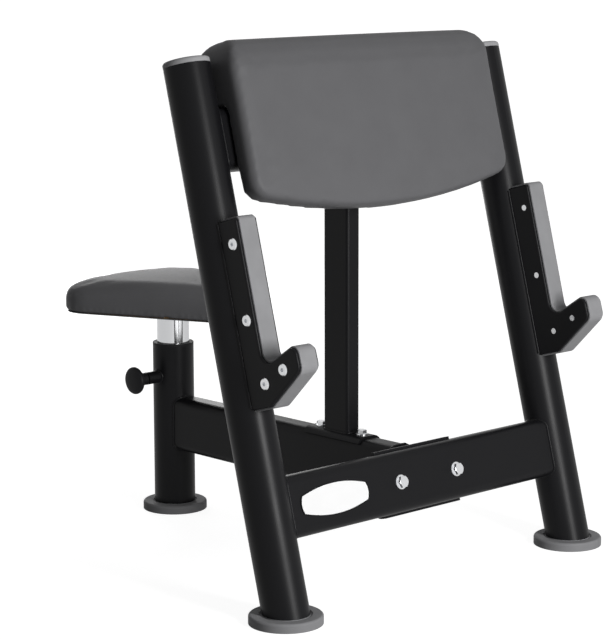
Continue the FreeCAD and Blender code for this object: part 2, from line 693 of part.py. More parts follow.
def pad_outline():
    """The pad seen square from the front: bowed along its bottom, drawn in at its sides."""
    half = PAD_WIDTH / 2
    corner_v = PAD_BOTTOM + PAD_BOTTOM_BOW
    top = PAD_TOP + PAD_CORNER_RISE
    points = [(-half, corner_v), (half, corner_v), (half, top), (-half, top)]
    bows = [PAD_BOTTOM_BOW, -PAD_SIDE_DRAW, 0, -PAD_SIDE_DRAW]
    outline = bowed_prism(points, bows, FAR)
    top_corners = upright_edges(outline, lambda at: at.y > top - PAD_TOP_CORNER)
    outline = outline.makeFillet(PAD_TOP_CORNER, top_corners)
    bottom_corners = upright_edges(outline, lambda at: at.y < corner_v + PAD_EDGE)
    outline = outline.makeFillet(PAD_BOTTOM_CORNER, bottom_corners)
    return placed(outline, Vector(0, 0, -FAR / 2))


def arm_pad():
    """Crowned cushion whose deep top roll rests on the upper crossbeam, in the flat layout.
    The front half follows the crown, the block behind it is straight, and they lap on the flat of the top."""
    low = PAD_BOTTOM - PAD_BOTTOM_BOW
    under = UPPER_BEAM_CENTRE + BEAM_HEIGHT / 2 + SOFT_GAP
    lap_front = PAD_FRONT - PAD_TOP_ROLL - PAD_TOP_FLAT / 3
    lap_rear = lap_front - PAD_TOP_FLAT / 3
    rear = lap_rear - PAD_TOP_FLAT / 3 - PAD_REAR_ROLL
    front_profile = [
        (low, lap_rear, 0),
        (PAD_TOP, lap_rear, 0),
        (PAD_TOP, PAD_FRONT, PAD_TOP_ROLL),
        (low, PAD_FRONT, 0),
    ]
    block_profile = [
        (under, rear, PAD_UNDER_ROLL),
        (PAD_TOP, rear, PAD_REAR_ROLL),
        (PAD_TOP, lap_front, 0),
        (under, lap_front, 0),
    ]
    front = crowned_bar(front_profile)
    block = placed(along_x(slab(block_profile, PAD_WIDTH)), Vector(-PAD_WIDTH / 2, 0, 0))
    beam_room = Part.makeBox(FAR, FAR, FAR, Vector(-FAR / 2, under - FAR, BEAM_FRONT + SOFT_GAP - FAR))
    body = front.fuse(block).removeSplitter().cut(beam_room)
    return body.common(pad_outline()).Solids[0]


def is_wall(face):
    """Whether a face of the pad stands square to its front, as the outline's walls do."""
    low_u, high_u, low_v, high_v = face.ParameterRange
    normal = face.normalAt((low_u + high_u) / 2, (low_v + high_v) / 2)
    centre = face.CenterOfMass
    side = abs(centre.x) > PAD_WIDTH / 2 - PAD_TOP_CORNER
    return abs(normal.z) < 0.02 and (side or centre.y < PAD_BOTTOM + 2 * PAD_BOTTOM_BOW)


def wall_edges(pad, chosen):
    """Edges between one of the outline's walls and another face that passes the test."""
    found = []
    for edge in pad.Edges:
        faces = pad.ancestorsOfType(edge, Part.Face)
        walls = [face for face in faces if is_wall(face)]
        others = [face for face in faces if not is_wall(face)]
        if len(walls) == 1 and len(others) == 1 and chosen(others[0].CenterOfMass):
            found.append(edge)
    return found


pad = arm_pad()
in_front = BEAM_FRONT + PAD_EDGE
pad = pad.makeFillet(PAD_EDGE, wall_edges(pad, lambda at: at.z > in_front or at.y > PAD_TOP - PAD_REAR_ROLL))

board_low = PAD_BOTTOM + PAD_BOTTOM_BOW
board_high = PAD_TOP - PAD_TOP_ROLL
board_height = board_high - board_low
board_width = PAD_WIDTH - 2 * BOARD_MARGIN
board_at = Vector(0, (board_low + board_high) / 2, BEAM_FRONT)
pad_board = placed(slab(rectangle(board_width, board_height, BOARD_CORNER), BOARD_THICKNESS), board_at)
pocket_size = rectangle(board_width + 2 * SOFT_GAP, board_height + 2 * SOFT_GAP, BOARD_CORNER + SOFT_GAP)
pocket = placed(slab(pocket_size, BOARD_THICKNESS + SOFT_GAP), board_at)
pieces["arm_pad"] = lean(pad.cut(pocket))

pad_bolts = []
pad_washers = []
pad_washer = ring(PAD_BOLT * WASHER_RATIO, PAD_BOLT + 2 * HOLE_CLEARANCE, PAD_BOLT * WASHER_PLATE_RATIO)
pad_bolt_length = PAD_BOLT * WASHER_PLATE_RATIO + BEAM_DEPTH + BOARD_THICKNESS - BOLT_END
for u, v in pad_bolt_places():
    seat = Vector(u, v, -BEAM_FRONT)
    turn = Rotation(X_AXIS, 180)
    pad_washers.append(placed(pad_washer, seat, turn))
    head_seat = seat - Z_AXIS * PAD_BOLT * WASHER_PLATE_RATIO
    pad_bolts.append(placed(hex_bolt(PAD_BOLT, pad_bolt_length), head_seat, turn))
    pad_board = pad_board.cut(hole(PAD_BOLT, BOARD_THICKNESS, Vector(u, v, BEAM_FRONT), Z_AXIS))
pieces["arm_pad_board"] = lean(pad_board)
pieces["arm_pad_bolts"] = lean(Part.makeCompound(pad_bolts))
pieces["arm_pad_washers"] = lean(Part.makeCompound(pad_washers))


# Bar hooks: a moulded core between two steel cheeks, on the front of each upright


def hook_outline(grow):
    """Hook seen from the side, as (v, w, radius) corners, with every edge moved out by grow."""
    back = 0.0
    arm_top = HOOK_THROAT + HOOK_ARM_SLOPE * (HOOK_TIP - HOOK_FRONT)
    corners = [
        (HOOK_BOTTOM, back, 0),
        (HOOK_TOP, back, 0),
        (HOOK_TOP, HOOK_FRONT, HOOK_CORNER + grow),
        (HOOK_THROAT, HOOK_FRONT, HOOK_THROAT_RADIUS - grow),
        (arm_top, HOOK_TIP, HOOK_TIP_CORNER + grow),
        (HOOK_TIP_LOW, HOOK_TIP + HOOK_TIP_FLARE, HOOK_TIP_LOW_CORNER + grow),
        (HOOK_BOTTOM + HOOK_HEEL_RISE, HOOK_HEEL, HOOK_HEEL_CORNER + grow),
    ]
    moved = []
    count = len(corners)
    for i in range(count):
        here = Vector(*corners[i][:2], 0)
        before = (here - Vector(*corners[i - 1][:2], 0)).normalize()
        after = (Vector(*corners[(i + 1) % count][:2], 0) - here).normalize()
        out_before = Vector(before.y, -before.x, 0)
        out_after = Vector(after.y, -after.x, 0)
        middle = (out_before + out_after).normalize()
        shift = middle * (grow / middle.dot(out_before))
        moved.append((here.x + shift.x, here.y + shift.y, corners[i][2]))
    return moved


def hook_layer(grow, start, thickness, edge, rounded_sides):
    """One layer of the hook, from the given distance outside the upright's axis, in the flat layout.
    Its outline is rounded on the given sides, 0 for the outer and 1 for the inner one."""
    layer = slab(hook_outline(grow), thickness)
    for side in rounded_sides:
        rims = rim_edges(layer, side * thickness)
        layer = layer.makeFillet(edge, [rim for rim in rims if rim.BoundBox.YMax > TUBE_R])
    layer = placed(along_x(layer), Vector(-UPRIGHT_X + start, 0, 0))
    tube = Part.makeCylinder(TUBE_R + WELD_GAP, FAR, Vector(-UPRIGHT_X, 0, 0), Y_AXIS)
    behind = Part.makeBox(FAR, FAR, FAR, Vector(-FAR, -FAR / 4, -FAR))
    return layer.cut(tube).cut(behind)


def hook_screw():
    """Low-head screw with a hexagon socket, its head at Z = 0 and above, its shank below."""
    r = HOOK_SCREW_HEAD / 2
    h = HOOK_SCREW_HEAD_HEIGHT
    length = 2 * CHEEK_THICKNESS + CORE_THICKNESS
    shank = HOOK_SCREW / 2
    head = [(r, 0), (r, 0.4 * h), (0.85 * r, h), (0, h)]
    screw = revolved([(0, -length), (shank, -length), (shank, 0)] + head)
    return screw.cut(placed(hexagon(HOOK_SCREW_SOCKET, HOOK_SCREW), Z_AXIS * (h - HOOK_SCREW_SOCKET)))


def hook_screw_places():
    """Two screws down the back of the hook, one in the middle of its arm and one at its heel."""
    back = HOOK_FRONT - HOOK_SCREW_INSET
    arm = HOOK_FRONT + HOOK_ARM_LENGTH * 0.58
    arm_top = HOOK_THROAT + HOOK_ARM_SLOPE * (arm - HOOK_FRONT)
    arm_low = HOOK_BOTTOM + HOOK_TIP_RISE * (arm - HOOK_HEEL) / (HOOK_TIP - HOOK_HEEL)
    return [
        (HOOK_TOP - HOOK_SCREW_DROP, back),
        (HOOK_TOP - HOOK_SCREW_DROP - HOOK_SCREW_SPACING, back),
        (arm_low + (arm_top - arm_low) * 0.54, arm),
        (HOOK_BOTTOM + HOOK_THROAT_RISE * 0.62, HOOK_FRONT),
    ]


outside = -CORE_THICKNESS / 2 - CHEEK_THICKNESS
outer_cheek = hook_layer(0, outside, CHEEK_THICKNESS, CHEEK_EDGE, [0])
inner_cheek = hook_layer(0, CORE_THICKNESS / 2, CHEEK_THICKNESS, CHEEK_EDGE, [1])
core = hook_layer(CORE_PROUD, -CORE_THICKNESS / 2, CORE_THICKNESS, CORE_EDGE, [0, 1])
screws = []
for v, w in hook_screw_places():
    at = Vector(-UPRIGHT_X + outside, v, w)
    drill = hole(HOOK_SCREW, -2 * outside, at, X_AXIS)
    outer_cheek = outer_cheek.cut(drill)
    inner_cheek = inner_cheek.cut(drill)
    core = core.cut(drill)
    screws.append(placed(hook_screw(), at, Rotation(Y_AXIS, -90)))
pieces["left_hook_outer_cheek"] = lean(outer_cheek)
pieces["left_hook_inner_cheek"] = lean(inner_cheek)
pieces["left_hook_core"] = lean(core)
pieces["left_hook_screws"] = lean(Part.makeCompound(screws))
for name in ("outer_cheek", "inner_cheek", "core", "screws"):
    pieces["right_hook_" + name] = mirrored(pieces["left_hook_" + name])


# The origin goes to the floor under the middle of the bench

whole = Part.makeCompound(list(pieces.values())).optimalBoundingBox(False)
to_middle = Vector(0, -(whole.YMin + whole.YMax) / 2, 0)
os.makedirs("parts", exist_ok=True)
for name, shape in pieces.items():
    placed(shape, to_middle).exportStep("parts/" + name + ".step")
print("moved by", to_middle.y, "size", whole.XLength, whole.YLength, whole.ZLength)
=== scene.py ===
"""Preacher curl bench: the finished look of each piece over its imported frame, in the order of assembly."""

import math

import bmesh
import bpy
import numpy
from mathutils import Matrix, Vector


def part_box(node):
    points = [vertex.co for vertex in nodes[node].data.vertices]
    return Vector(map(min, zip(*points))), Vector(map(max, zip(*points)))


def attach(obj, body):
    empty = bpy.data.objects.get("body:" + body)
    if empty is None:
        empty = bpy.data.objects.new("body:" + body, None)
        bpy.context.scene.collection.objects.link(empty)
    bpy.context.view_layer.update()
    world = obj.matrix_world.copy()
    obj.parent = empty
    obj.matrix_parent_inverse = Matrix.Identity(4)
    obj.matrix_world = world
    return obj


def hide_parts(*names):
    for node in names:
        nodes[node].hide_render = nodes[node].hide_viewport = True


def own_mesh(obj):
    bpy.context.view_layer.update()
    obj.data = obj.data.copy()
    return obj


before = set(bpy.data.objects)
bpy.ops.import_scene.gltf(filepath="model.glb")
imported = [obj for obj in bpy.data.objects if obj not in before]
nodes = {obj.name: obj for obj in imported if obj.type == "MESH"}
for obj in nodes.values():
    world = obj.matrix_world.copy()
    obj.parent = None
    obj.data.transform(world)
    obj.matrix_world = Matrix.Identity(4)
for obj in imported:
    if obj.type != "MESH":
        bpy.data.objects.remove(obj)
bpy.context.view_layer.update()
bpy.context.scene.view_settings.view_transform = "Standard"

# Uprights, beams, posts and hook cheeks
# Round, oblong and flat tube and laser-cut plate of mild steel, welded into one frame and bolted at its
# saddles, powder coated satin black.


def linear(colour):
    """The linear colour of an sRGB hex number, as shader sockets take it."""
    channels = [(colour >> shift & 255) / 255 for shift in (16, 8, 0)]
    return [c / 12.92 if c <= 0.04045 else ((c + 0.055) / 1.055) ** 2.4 for c in channels] + [1.0]


def add(tree, kind, inputs, **settings):
    """A new node in the tree: each input takes a value, or a link from the output socket given."""
    made = tree.nodes.new(kind)
    for name, value in settings.items():
        setattr(made, name, value)
    for name, value in inputs.items():
        if isinstance(value, bpy.types.NodeSocket):
            tree.links.new(value, made.inputs[name])
        else:
            made.inputs[name].default_value = value
    return made


def finish_named(name, **inputs):
    """A material named for a finish, with constant values on its shader; also its tree and shader."""
    material = bpy.data.materials.new(name)
    material.use_nodes = True
    shader = material.node_tree.nodes["Principled BSDF"]
    for socket, value in inputs.items():
        shader.inputs[socket.replace("_", " ")].default_value = value
    return material, material.node_tree, shader


def dress(material, *names):
    """Gives a finish to the named pieces of the frame."""
    for name in names:
        for slot in nodes[name].material_slots:
            slot.material = material


# Powder coat: polyester powder melts to a satin skin, with an orange peel of about 1 mm waves, drawn at 3 mm
# so that it shows, and a gloss that drifts a little over a hand's width.
powder_coat, tree, shader = finish_named(
    "satin black powder coat", Base_Color=linear(0x151517), Specular_IOR_Level=0.14
)
place = add(tree, "ShaderNodeTexCoord", {}).outputs["Object"]
peel = add(tree, "ShaderNodeTexNoise", {"Vector": place, "Scale": 1 / 0.003, "Detail": 2.0})
drift = add(tree, "ShaderNodeTexNoise", {"Vector": place, "Scale": 1 / 0.09, "Detail": 3.0})
gloss = add(tree, "ShaderNodeMapRange", {"Value": drift.outputs["Fac"], "To Min": 0.3, "To Max": 0.42})
relief = add(tree, "ShaderNodeBump", {"Height": peel.outputs["Fac"], "Strength": 0.3, "Distance": 0.0002})
tree.links.new(gloss.outputs["Result"], shader.inputs["Roughness"])
tree.links.new(relief.outputs["Normal"], shader.inputs["Normal"])
dress(
    powder_coat,
    "left_upright", "right_upright", "lower_crossbeam", "upper_crossbeam", "spine_beam", "spine_saddle",
    "centre_post", "post_saddle", "rear_post", "pin_housing", "seat_plate",
    "left_hook_inner_cheek", "left_hook_outer_cheek", "right_hook_inner_cheek", "right_hook_outer_cheek",
)

# Weld beads of the frame
# Fillet welds run by hand where tubes and plates meet, rippled along their length and coated with the frame.
TUBE_RADIUS = 0.038
BEAM_HEIGHT = 0.1
BEAM_DEPTH = 0.05
BEAM_CORNER = 0.015
BEAD_RADIUS = 0.0024
BEAD_STEP = 0.0035
BEAD_RIPPLE = (0.92, 1.12)
LEAN = math.radians(15)
FOOT_HEIGHT = 0.015


def middle(name, axis):
    """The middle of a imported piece's box along an axis, counted from x."""
    low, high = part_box(name)
    return (low[axis] + high[axis]) / 2


UPRIGHT_X = middle("right_foot", 0)
FRONT_AXIS_Y = middle("left_foot", 1) - FOOT_HEIGHT * math.tan(LEAN)
POST_Y = middle("rear_post", 1)


def leaned(u, v, w):
    """A place on the leaning front frame: u across, v up the uprights, w out of their front."""
    y = FRONT_AXIS_Y + v * math.sin(LEAN) - w * math.cos(LEAN)
    return Vector((u, y, v * math.cos(LEAN) + w * math.sin(LEAN)))


def round_oblong(height, depth, corner):
    """Places round an oblong with rounded corners, as (along height, along depth)."""
    spots = []
    turns = max(2, round(corner * math.pi / 2 / BEAD_STEP))
    for quarter, (tall, deep) in enumerate(((1, 1), (-1, 1), (-1, -1), (1, -1))):
        for turn in range(turns + 1):
            angle = math.pi / 2 * (quarter + turn / turns)
            along_height = tall * (height / 2 - corner) + corner * math.cos(angle)
            along_depth = deep * (depth / 2 - corner) + corner * math.sin(angle)
            spots.append((along_height, along_depth))
    return spots


def linked(name, mesh, material, body):
    """A mesh as a piece of the scene, riding with a body of the frame."""
    piece = bpy.data.objects.new(name, mesh)
    bpy.context.scene.collection.objects.link(piece)
    mesh.materials.append(material)
    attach(piece, body)
    return piece


def weld_bead(name, path, closed, body):
    """A rippled bead of weld along a path of places, with its points an even step apart."""
    course = [Vector(spot) for spot in path]
    if closed:
        course.append(course[0])
    spots = []
    for start, end in zip(course, course[1:]):
        pieces = max(1, round((end - start).length / BEAD_STEP))
        spots += [start.lerp(end, i / pieces) for i in range(pieces)]
    if not closed:
        spots.append(course[-1])
    curve = bpy.data.curves.new(name, "CURVE")
    curve.dimensions = "3D"
    curve.bevel_depth = BEAD_RADIUS
    curve.bevel_resolution = 1
    curve.use_fill_caps = True
    line = curve.splines.new("POLY")
    line.points.add(len(spots) - 1)
    line.use_cyclic_u = closed
    for i, spot in enumerate(spots):
        line.points[i].co = (*spot, 1)
        line.points[i].radius = BEAD_RIPPLE[i % 2]
    sweep = bpy.data.objects.new(name + "_path", curve)
    mesh = bpy.data.meshes.new_from_object(sweep)
    bpy.data.objects.remove(sweep)
    mesh.shade_smooth()
    linked(name, mesh, powder_coat, body)


beam_outline = round_oblong(BEAM_HEIGHT, BEAM_DEPTH, BEAM_CORNER)

LOWER_BEAM = 0.176
UPPER_BEAM = 0.766
for name, level in (("lower", LOWER_BEAM), ("upper", UPPER_BEAM)):
    for side_name, side in (("left", -1), ("right", 1)):
        path = []
        for tall, deep in beam_outline:
            inward = UPRIGHT_X - math.sqrt(TUBE_RADIUS**2 - deep**2)
            path.append(leaned(side * inward, level + tall, deep))
        weld_bead(f"{side_name}_{name}_beam_weld", path, True, "frame")

SPINE_LEVEL = 0.167
path = []
for tall, deep in beam_outline:
    path.append((deep, POST_Y - math.sqrt(TUBE_RADIUS**2 - deep**2), SPINE_LEVEL + tall))
weld_bead("spine_post_weld", path, True, "frame")

SADDLE_BACK = -0.0302
path = []
for tall, deep in beam_outline:
    up_lean = (SPINE_LEVEL + tall - SADDLE_BACK * math.sin(LEAN)) / math.cos(LEAN)
    path.append(leaned(deep, up_lean, SADDLE_BACK))
weld_bead("spine_saddle_weld", path, True, "frame")

HOOK_LOW = 0.34
HOOK_HIGH = 0.631
CHEEK_OUT = 0.022
for side_name, side in (("left", -1), ("right", 1)):
    for face_name, face in (("outer", 1), ("inner", -1)):
        u = side * (UPRIGHT_X + face * CHEEK_OUT)
        w = math.sqrt(TUBE_RADIUS**2 - CHEEK_OUT**2)
        path = [leaned(u, HOOK_LOW, w), leaned(u, HOOK_HIGH, w)]
        weld_bead(f"{side_name}_{face_name}_cheek_weld", path, False, "frame")

POST_WIDTH = 0.06
POST_THICKNESS = 0.03
POST_CORNER = 0.006
SADDLE_CORNER = 0.019
SADDLE_FLAT = 0.01
saddle_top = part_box("post_saddle")[1][2]
centre_post_y = middle("centre_post", 1)
path = []
for wide, deep in round_oblong(POST_WIDTH, POST_THICKNESS, POST_CORNER):
    past_flat = max(0, abs(deep) - SADDLE_FLAT)
    drop = SADDLE_CORNER - math.sqrt(SADDLE_CORNER**2 - past_flat**2)
    path.append((deep, centre_post_y + wide, saddle_top - drop))
weld_bead("centre_post_weld", path, True, "frame")

PIN_LEVEL = middle("pin_housing", 2)
HOUSING_RADIUS = 0.0115
HOUSING_WELD_POINTS = 24
path = []
for i in range(HOUSING_WELD_POINTS):
    angle = i * 2 * math.pi / HOUSING_WELD_POINTS
    along = HOUSING_RADIUS * math.cos(angle)
    up = HOUSING_RADIUS * math.sin(angle)
    path.append((-math.sqrt(TUBE_RADIUS**2 - along**2), POST_Y + along, PIN_LEVEL + up))
weld_bead("housing_weld", path, True, "frame")

# Name plate's place
# A bare barrel-shaped plate of white enamelled aluminium with a dark rim, stuck on the lower crossbeam.
PLATE_LEFT = -0.288
PLATE_RIGHT = -0.142
PLATE_LEVEL = 0.1755
PLATE_HEIGHT = 0.049
# Two shares: the height of the ends to the middle's, and what the long edges lose of the plate's length.
PLATE_END = 0.56
PLATE_SIDE_BOW = 0.05
PLATE_THICKNESS = 0.0012
ENAMEL_TOP = 0.0018
PLATE_RIM = 0.0014


def thickened(form, outward):
    """Gives the faces of a flat form a thickness."""
    raised = bmesh.ops.extrude_face_region(form, geom=form.faces[:])
    corners = [part for part in raised["geom"] if isinstance(part, bmesh.types.BMVert)]
    bmesh.ops.translate(form, verts=corners, vec=outward)
    bmesh.ops.recalc_face_normals(form, faces=form.faces)


def meshed(name, form):
    """The mesh of a form, which is then let go."""
    mesh = bpy.data.meshes.new(name)
    form.to_mesh(mesh)
    form.free()
    return mesh


def barrel_plate(name, grow, low, high, material):
    """A plate with bowed long edges and slightly bowed ends, between two heights above the beam's face."""
    half = (PLATE_RIGHT - PLATE_LEFT) / 2 + grow
    tall = PLATE_HEIGHT / 2 + grow
    form = bmesh.new()
    bmesh.ops.create_grid(form, x_segments=24, y_segments=8, size=1)
    for spot in form.verts:
        barrel = 1 - (1 - PLATE_END) * spot.co.x**2
        bow = 1 - PLATE_SIDE_BOW * spot.co.y**2
        u = (PLATE_LEFT + PLATE_RIGHT) / 2 + half * spot.co.x * bow
        spot.co = leaned(u, PLATE_LEVEL + tall * spot.co.y * barrel, BEAM_DEPTH / 2 + low)
    thickened(form, leaned(0, 0, high - low) - leaned(0, 0, 0))
    linked(name, meshed(name, form), material, "frame")


# Enamel: stoved white paint of half gloss, with a faint unevenness over 20 mm.
white_enamel, tree, shader = finish_named("white enamel", Roughness=0.35)
place = add(tree, "ShaderNodeTexCoord", {}).outputs["Object"]
cloud = add(tree, "ShaderNodeTexNoise", {"Vector": place, "Scale": 1 / 0.02, "Detail": 2.0})
shades = add(tree, "ShaderNodeValToRGB", {"Fac": cloud.outputs["Fac"]})
shades.color_ramp.elements[0].color = linear(0xFAFAFA)
shades.color_ramp.elements[1].color = linear(0xFFFFFF)
tree.links.new(shades.outputs["Color"], shader.inputs["Base Color"])
barrel_plate("name_plate_rim", PLATE_RIM, 0.0, PLATE_THICKNESS, powder_coat)
barrel_plate("name_plate", 0.0, PLATE_THICKNESS, ENAMEL_TOP, white_enamel)

# Caps, feet and hook cores
# Caps and cores are moulded grey plastic with a fine spark-eroded grain; the caps' grey is painted lighter
# than the cores' to make up for the little light that falls on them. The caps plug into the tubes. The feet
# are moulded grey rubber, pushed into the tubes' lower ends.


def moulded(name, colour, roughness, grain, depth):
    """Moulded plastic or rubber: a grain of the given size, and a faint cloudiness over 40 mm."""
    material, tree, shader = finish_named(name, Roughness=roughness, Specular_IOR_Level=0.15)
    place = add(tree, "ShaderNodeTexCoord", {}).outputs["Object"]
    grains = add(tree, "ShaderNodeTexNoise", {"Vector": place, "Scale": 1 / grain, "Detail": 2.0})
    cloud = add(tree, "ShaderNodeTexNoise", {"Vector": place, "Scale": 1 / 0.04, "Detail": 2.0})
    shades = add(tree, "ShaderNodeValToRGB", {"Fac": cloud.outputs["Fac"]})
    shades.color_ramp.elements[0].position = 0.3
    shades.color_ramp.elements[1].position = 0.7
    shades.color_ramp.elements[0].color = [c * 0.95 for c in linear(colour)]
    shades.color_ramp.elements[1].color = [c * 1.05 for c in linear(colour)]
    relief = add(
        tree, "ShaderNodeBump", {"Height": grains.outputs["Fac"], "Strength": 0.4, "Distance": depth}
    )
    tree.links.new(shades.outputs["Color"], shader.inputs["Base Color"])
    tree.links.new(relief.outputs["Normal"], shader.inputs["Normal"])
    return material


grey_plastic = moulded("moulded grey plastic", 0x969698, 0.55, 0.0016, 0.0002)
grey_rubber = moulded("grey rubber", 0x8C8C8E, 0.65, 0.002, 0.0003)
# The caps' plastic is the cores' grey painted lighter, a painted lightening for the little light on the caps.
cap_plastic_painted_lighter = moulded("moulded grey plastic painted lighter", 0xAAAAAC, 0.55, 0.0016, 0.0002)
dress(grey_plastic, "left_hook_core", "right_hook_core")
dress(cap_plastic_painted_lighter, "left_upright_cap", "right_upright_cap")
dress(grey_rubber, "left_foot", "right_foot", "rear_foot")

# Seat tube, bush and plug
# Chrome-plated steel tube that slides in the rear post through a bush of black plastic, its lower end
# plugged, its upper end welded to the seat plate.
# Chrome: mirror bright, its gloss dulled in fine streaks along the tube where it has run in the bush.
chrome, tree, shader = finish_named("chrome plate", Base_Color=linear(0xE4E5E7), Metallic=1.0)
place = add(tree, "ShaderNodeTexCoord", {}).outputs["Object"]
along = add(tree, "ShaderNodeMapping", {"Vector": place, "Scale": (1 / 0.003, 1 / 0.003, 1 / 0.06)})
streaks = add(tree, "ShaderNodeTexNoise", {"Vector": along.outputs["Vector"], "Scale": 1.0, "Detail": 2.0})
gloss = add(tree, "ShaderNodeMapRange", {"Value": streaks.outputs["Fac"], "To Min": 0.05, "To Max": 0.16})
tree.links.new(gloss.outputs["Result"], shader.inputs["Roughness"])
dress(chrome, "seat_tube")
black_plastic = moulded("moulded black plastic", 0x19191B, 0.5, 0.0018, 0.0002)
dress(black_plastic, "seat_bush", "seat_tube_plug")

SEAT_TUBE_RADIUS = 0.03
PLATE_WELD_POINTS = 48
plate_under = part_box("seat_plate")[0][2]
path = []
for i in range(PLATE_WELD_POINTS):
    angle = i * 2 * math.pi / PLATE_WELD_POINTS
    across = SEAT_TUBE_RADIUS * math.cos(angle)
    path.append((across, POST_Y + SEAT_TUBE_RADIUS * math.sin(angle), plate_under))
weld_bead("seat_plate_weld", path, True, "seat")

# Pull knob
# Mushroom knob of black plastic, moulded on the rod of the pin, its front a shallow dome.
# Its profile is turned about the pin, as (distance out along the pin, radius).
KNOB_PROFILE = [
    (0.0, 0.0), (0.0, 0.0105), (0.001, 0.0115), (0.012, 0.0115), (0.0165, 0.0135), (0.0195, 0.0195),
    (0.0215, 0.0235), (0.024, 0.0252), (0.027, 0.0255), (0.0298, 0.0245), (0.0318, 0.021),
    (0.0332, 0.013), (0.034, 0.0),
]
knob_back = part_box("pull_knob")[1][0]
form = bmesh.new()
turned = [form.verts.new((knob_back - out, POST_Y + radius, PIN_LEVEL)) for out, radius in KNOB_PROFILE]
edges = [form.edges.new(pair) for pair in zip(turned, turned[1:])]
bmesh.ops.spin(
    form, geom=turned + edges, cent=(0, POST_Y, PIN_LEVEL), axis=(1, 0, 0),
    angle=2 * math.pi, steps=40, use_merge=True,
)
bmesh.ops.remove_doubles(form, verts=form.verts, dist=0.00001)
bmesh.ops.recalc_face_normals(form, faces=form.faces)
mesh = meshed("pull_knob_turned", form)
mesh.shade_smooth()
knob = linked("pull_knob_turned", mesh, black_plastic, "pin")
finer = knob.modifiers.new("finer", "SUBSURF")
finer.levels = finer.render_levels = 1
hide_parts("pull_knob")

# Fasteners, pin and spring
# Bright zinc-plated steel: hexagon bolts, washers, nuts, low-head screws, the pin and its spring.
# Zinc: pale and bright, with the soft cloudy bloom of the passivation over a few millimetres.
zinc, tree, shader = finish_named("bright zinc plate", Base_Color=linear(0xF2F3F5), Metallic=1.0)
place = add(tree, "ShaderNodeTexCoord", {}).outputs["Object"]
bloom = add(tree, "ShaderNodeTexNoise", {"Vector": place, "Scale": 1 / 0.005, "Detail": 3.0})
gloss = add(tree, "ShaderNodeMapRange", {"Value": bloom.outputs["Fac"], "To Min": 0.2, "To Max": 0.34})
tree.links.new(gloss.outputs["Result"], shader.inputs["Roughness"])
dress(
    zinc,
    "saddle_bolts", "saddle_washers", "saddle_nuts", "post_bolts", "post_washers", "arm_pad_bolts",
    "arm_pad_washers", "left_hook_screws", "right_hook_screws", "seat_screws", "pull_pin", "pin_spring",
)

# The spring pushes the pin home from the housing's end wall, and in the bench shortens as the knob is pulled;
# here its coil is copied as it is and rides with the frame.
spring = bpy.data.objects.new("pin_spring_coil", nodes["pin_spring"].data.copy())
bpy.context.scene.collection.objects.link(spring)
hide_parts("pin_spring")
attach(spring, "frame")
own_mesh(spring)

# Boards
# Birch plywood behind the foam of the arm pad and under the seat, its face grain across the bench.
# Plywood: pale, with darker streaks a few millimetres apart that run for a hand's width.
plywood, tree, shader = finish_named("birch plywood", Roughness=0.6)
place = add(tree, "ShaderNodeTexCoord", {}).outputs["Object"]
along = add(tree, "ShaderNodeMapping", {"Vector": place, "Scale": (1 / 0.12, 1 / 0.005, 1 / 0.005)})
grain = add(tree, "ShaderNodeTexNoise", {"Vector": along.outputs["Vector"], "Scale": 1.0, "Detail": 4.0})
shades = add(tree, "ShaderNodeValToRGB", {"Fac": grain.outputs["Fac"]})
shades.color_ramp.elements[0].position = 0.35
shades.color_ramp.elements[1].position = 0.65
shades.color_ramp.elements[0].color = linear(0xA88358)
shades.color_ramp.elements[1].color = linear(0xC9A878)
tree.links.new(shades.outputs["Color"], shader.inputs["Base Color"])
dress(plywood, "arm_pad_board", "seat_board")

# Arm pad and seat cushion
# Foam on the boards under a skin of dark grey vinyl, drawn tight and stapled behind, so that the faces
# crown and the edges roll. The foam, squeezed a little, holds the skin out.
# Vinyl: embossed with a leather grain of about 1.5 mm cells, drawn at 2.6 mm so that it shows, satin.
vinyl, tree, shader = finish_named("dark grey vinyl", Specular_IOR_Level=0.15)
place = add(tree, "ShaderNodeTexCoord", {}).outputs["Object"]
cells = add(tree, "ShaderNodeTexVoronoi", {"Vector": place, "Scale": 1 / 0.0026}, feature="SMOOTH_F1")
cloud = add(tree, "ShaderNodeTexNoise", {"Vector": place, "Scale": 1 / 0.05, "Detail": 3.0})
shades = add(tree, "ShaderNodeValToRGB", {"Fac": cloud.outputs["Fac"]})
shades.color_ramp.elements[0].position = 0.3
shades.color_ramp.elements[1].position = 0.7
shades.color_ramp.elements[0].color = linear(0x656567)
shades.color_ramp.elements[1].color = linear(0x68686A)
gloss = add(
    tree, "ShaderNodeMapRange", {"Value": cells.outputs["Distance"], "To Min": 0.46, "To Max": 0.58}
)
relief = add(
    tree, "ShaderNodeBump", {"Height": cells.outputs["Distance"], "Strength": 0.3, "Distance": 0.0003}
)
tree.links.new(shades.outputs["Color"], shader.inputs["Base Color"])
tree.links.new(gloss.outputs["Result"], shader.inputs["Roughness"])
tree.links.new(relief.outputs["Normal"], shader.inputs["Normal"])

VOXEL = 0.0055
CLOTH_FRAMES = 20
CLOTH_PRESSURE = 4.0


def baked(piece):
    """Puts the shape that the modifiers of a piece make into its mesh."""
    shape = piece.evaluated_get(bpy.context.evaluated_depsgraph_get())
    mesh = bpy.data.meshes.new_from_object(shape)
    piece.modifiers.clear()
    piece.data = mesh


def places(mesh):
    """The corners of a mesh as rows of x, y, z."""
    rows = numpy.zeros(len(mesh.vertices) * 3)
    mesh.vertices.foreach_get("co", rows)
    return rows.reshape(-1, 3)


def eased(piece, is_fixed, times):
    """Rounds a cushion off a little, except where it lies on its board or beam."""
    form = bmesh.new()
    form.from_mesh(piece.data)
    free = [corner for corner in form.verts if not is_fixed(corner.co)]
    for _ in range(times):
        bmesh.ops.smooth_vert(
            form, verts=free, factor=0.5, use_axis_x=True, use_axis_y=True, use_axis_z=True
        )
    form.to_mesh(piece.data)
    form.free()


